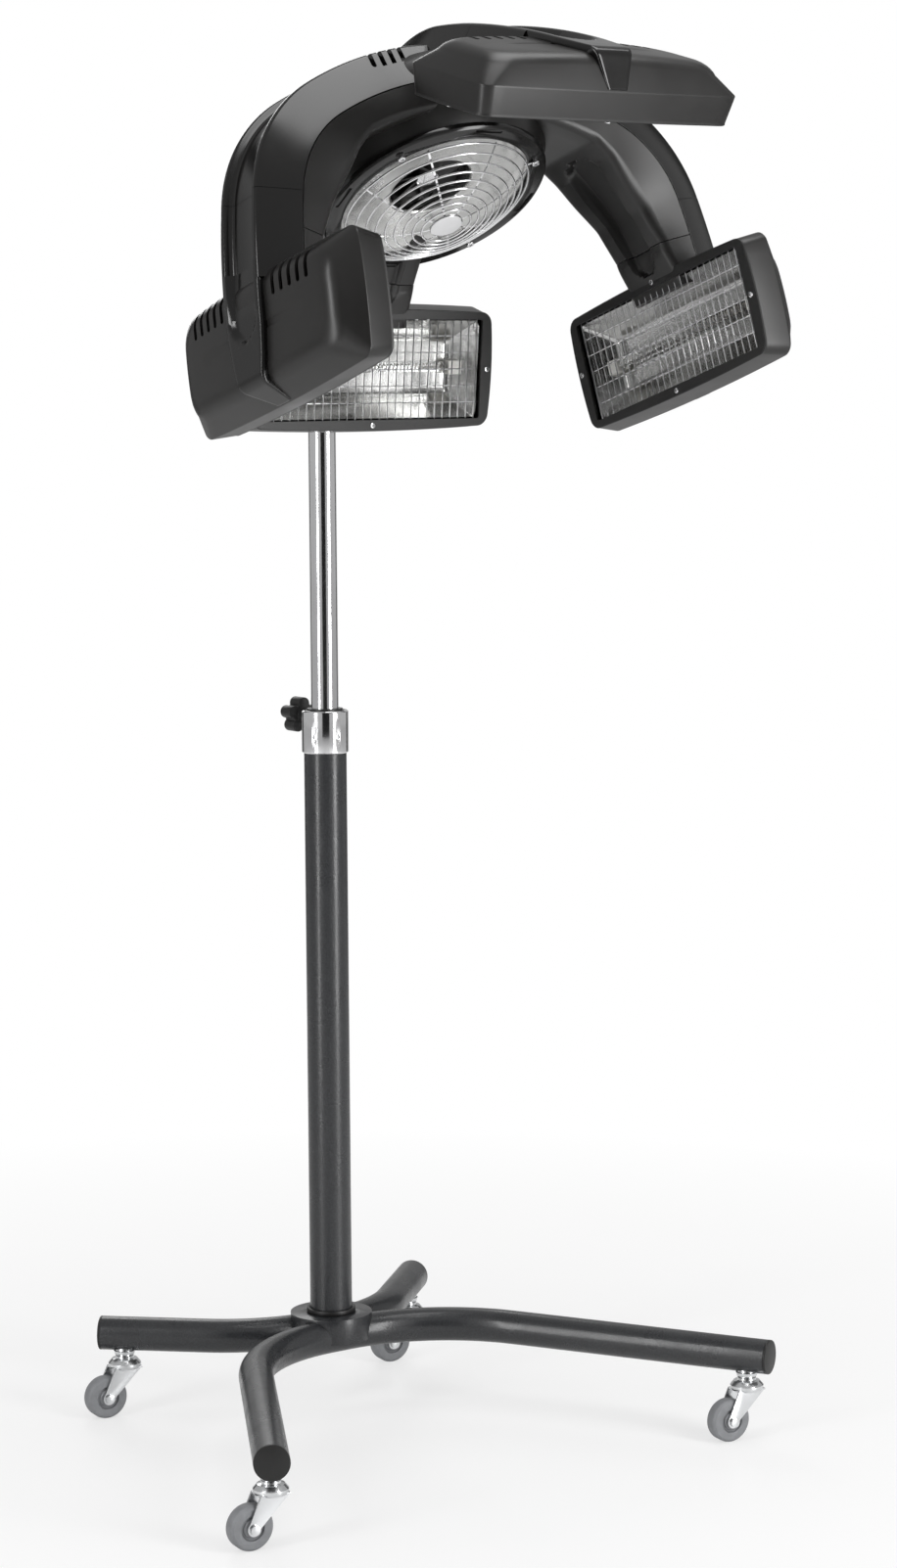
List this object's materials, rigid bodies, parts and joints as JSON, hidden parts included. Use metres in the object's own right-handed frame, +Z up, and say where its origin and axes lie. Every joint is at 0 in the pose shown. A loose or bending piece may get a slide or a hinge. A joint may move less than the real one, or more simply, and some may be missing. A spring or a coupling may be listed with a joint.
{
  "type": "hair color processor",
  "caption": "Salon hair processor: hinged infrared lamps and a fan on an arched head, on a telescopic column with a rolling base of bent tube legs.",
  "frame": {"origin": "on the floor, under the axis of the column", "axes": "+Z up along the column, -Y towards the client at the front, +X to one side of the symmetric stand"},
  "size_m": [0.74, 0.7321, 1.611],
  "materials": {
    "hammered_paint": "dark graphite hammered paint, semi-gloss",
    "black_trim": "black moulded plastic",
    "chrome": "bright chrome plate",
    "steel": "black painted steel",
    "zinc_plate": "bright zinc plated pressed steel",
    "wheel_grey": "grey rubber tread on a grey core",
    "head_plastic": "satin charcoal plastic",
    "polished_aluminium": "polished reflector sheet",
    "motor_metal": "dark painted motor can and bracket",
    "board": "green circuit board with dark relays",
    "bezel_plastic": "matte black heat-proof plastic",
    "quartz": "clear quartz tube between ceramic sockets"
  },
  "bodies": {
    "base": {"front_leg_tube": "hammered_paint", "rear_leg_tube": "hammered_paint", "base_hub": "hammered_paint", "column_foot_ring": "black_trim", "lower_column": "hammered_paint", "height_collar": "chrome", "collar_bush": "black_trim", "collar_screws": "chrome", "leg_end_caps": "black_trim", "caster_sockets": "steel"},
    "knob": {"height_knob": "black_trim"},
    "mast": {"upper_column": "chrome", "tube_guide": "black_trim"},
    "neck": {"swivel_neck": "steel"},
    "head": {"head_outer_shell": "head_plastic", "head_inner_shell": "head_plastic", "fan_bezel": "head_plastic", "reflector_dish": "polished_aluminium", "wire_guard": "chrome", "guard_screws": "chrome", "fan_motor": "motor_metal", "control_panel": "black_trim", "circuit_board": "board", "cord_gland": "black_trim", "tilt_pin": "steel"},
    "impeller": {"fan_impeller": "black_trim"},
    "switch": {"power_switch": "black_trim"},
    "dial": {"timer_dial": "black_trim"},
    "caster_front_left": {"caster_fork_front_left": "zinc_plate"},
    "wheel_front_left": {"caster_wheel_front_left": "wheel_grey"},
    "caster_front_right": {"caster_fork_front_right": "zinc_plate"},
    "wheel_front_right": {"caster_wheel_front_right": "wheel_grey"},
    "caster_rear_left": {"caster_fork_rear_left": "zinc_plate"},
    "wheel_rear_left": {"caster_wheel_rear_left": "wheel_grey"},
    "caster_rear_right": {"caster_fork_rear_right": "zinc_plate"},
    "wheel_rear_right": {"caster_wheel_rear_right": "wheel_grey"},
    "lamp_front": {"arm_end_front": "head_plastic", "lamp_housing_front": "head_plastic", "lamp_bezel_front": "bezel_plastic", "lamp_grille_front": "chrome", "lamp_reflector_front": "polished_aluminium", "lamp_tube_front": "quartz"},
    "lamp_rear": {"arm_end_rear": "head_plastic", "lamp_housing_rear": "head_plastic", "lamp_bezel_rear": "bezel_plastic", "lamp_grille_rear": "chrome", "lamp_reflector_rear": "polished_aluminium", "lamp_tube_rear": "quartz"},
    "lamp_left": {"arm_end_left": "head_plastic", "lamp_housing_left": "head_plastic", "lamp_bezel_left": "bezel_plastic", "lamp_grille_left": "chrome", "lamp_reflector_left": "polished_aluminium", "lamp_tube_left": "quartz"},
    "lamp_right": {"arm_end_right": "head_plastic", "lamp_housing_right": "head_plastic", "lamp_bezel_right": "bezel_plastic", "lamp_grille_right": "chrome", "lamp_reflector_right": "polished_aluminium", "lamp_tube_right": "quartz"}
  },
  "joints": [
    {"name": "caster_swivel_front_left", "type": "hinge", "parent": "base", "child": "caster_front_left", "pos_m": [-0.32872, -0.37876, 0.07], "axis": [0, 0, 1], "continuous": true},
    {"name": "wheel_spin_front_left", "type": "hinge", "parent": "caster_front_left", "child": "wheel_front_left", "pos_m": [-0.354, -0.37543, 0.025], "axis": [-0.1305, -0.9914, 0], "continuous": true},
    {"name": "caster_swivel_front_right", "type": "hinge", "parent": "base", "child": "caster_front_right", "pos_m": [0.32872, -0.37876, 0.07], "axis": [0, 0, 1], "continuous": true},
    {"name": "wheel_spin_front_right", "type": "hinge", "parent": "caster_front_right", "child": "wheel_front_right", "pos_m": [0.30344, -0.37543, 0.025], "axis": [-0.1305, -0.9914, 0], "continuous": true},
    {"name": "caster_swivel_rear_left", "type": "hinge", "parent": "base", "child": "caster_rear_left", "pos_m": [-0.20579, 0.13722, 0.07], "axis": [0, 0, 1], "continuous": true},
    {"name": "wheel_spin_rear_left", "type": "hinge", "parent": "caster_rear_left", "child": "wheel_rear_left", "pos_m": [-0.23107, 0.14055, 0.025], "axis": [-0.1305, -0.9914, 0], "continuous": true},
    {"name": "caster_swivel_rear_right", "type": "hinge", "parent": "base", "child": "caster_rear_right", "pos_m": [0.20579, 0.13722, 0.07], "axis": [0, 0, 1], "continuous": true},
    {"name": "wheel_spin_rear_right", "type": "hinge", "parent": "caster_rear_right", "child": "wheel_rear_right", "pos_m": [0.18051, 0.14055, 0.025], "axis": [-0.1305, -0.9914, 0], "continuous": true},
    {"name": "knob_turn", "type": "hinge", "parent": "base", "child": "knob", "pos_m": [0, 0.05, 0.835], "axis": [0, 1, 0], "range_deg": [-180, 180]},
    {"name": "height_slide", "type": "slide", "parent": "base", "child": "mast", "axis": [0, 0, 1], "range_m": [-0.3, 0.15]},
    {"name": "neck_swivel", "type": "hinge", "parent": "mast", "child": "neck", "pos_m": [0, 0, 1.392], "axis": [0, 0, 1], "range_deg": [-170, 170]},
    {"name": "head_tilt", "type": "hinge", "parent": "neck", "child": "head", "pos_m": [0, 0, 1.425], "axis": [1, 0, 0], "range_deg": [-25, 0]},
    {"name": "lamp_swing_front", "type": "hinge", "parent": "head", "child": "lamp_front", "pos_m": [0, -0.33807, 1.59164], "axis": [-1, 0, 0], "range_deg": [0, 12]},
    {"name": "lamp_swing_rear", "type": "hinge", "parent": "head", "child": "lamp_rear", "pos_m": [0, -0.0793, 1.40153], "axis": [1, 0, 0], "range_deg": [0, 3]},
    {"name": "lamp_swing_left", "type": "hinge", "parent": "head", "child": "lamp_left", "pos_m": [-0.27511, -0.29024, 1.43009], "axis": [0, 0.9603, -0.279], "range_deg": [0, 12]},
    {"name": "lamp_swing_right", "type": "hinge", "parent": "head", "child": "lamp_right", "pos_m": [0.27511, -0.29024, 1.43009], "axis": [0, -0.9603, 0.279], "range_deg": [0, 12]},
    {"name": "fan_spin", "type": "hinge", "parent": "head", "child": "impeller", "pos_m": [0, -0.229, 1.433], "axis": [0, 0.5635, 0.8261], "continuous": true},
    {"name": "power_switch_rock", "type": "hinge", "parent": "head", "child": "switch", "pos_m": [0, -0.14126, 1.53228], "axis": [-1, 0, 0], "range_deg": [-8, 8]},
    {"name": "timer_turn", "type": "hinge", "parent": "head", "child": "dial", "pos_m": [0, -0.11402, 1.50292], "axis": [0, 0.766, 0.6428], "range_deg": [0, 300]}
  ]
}
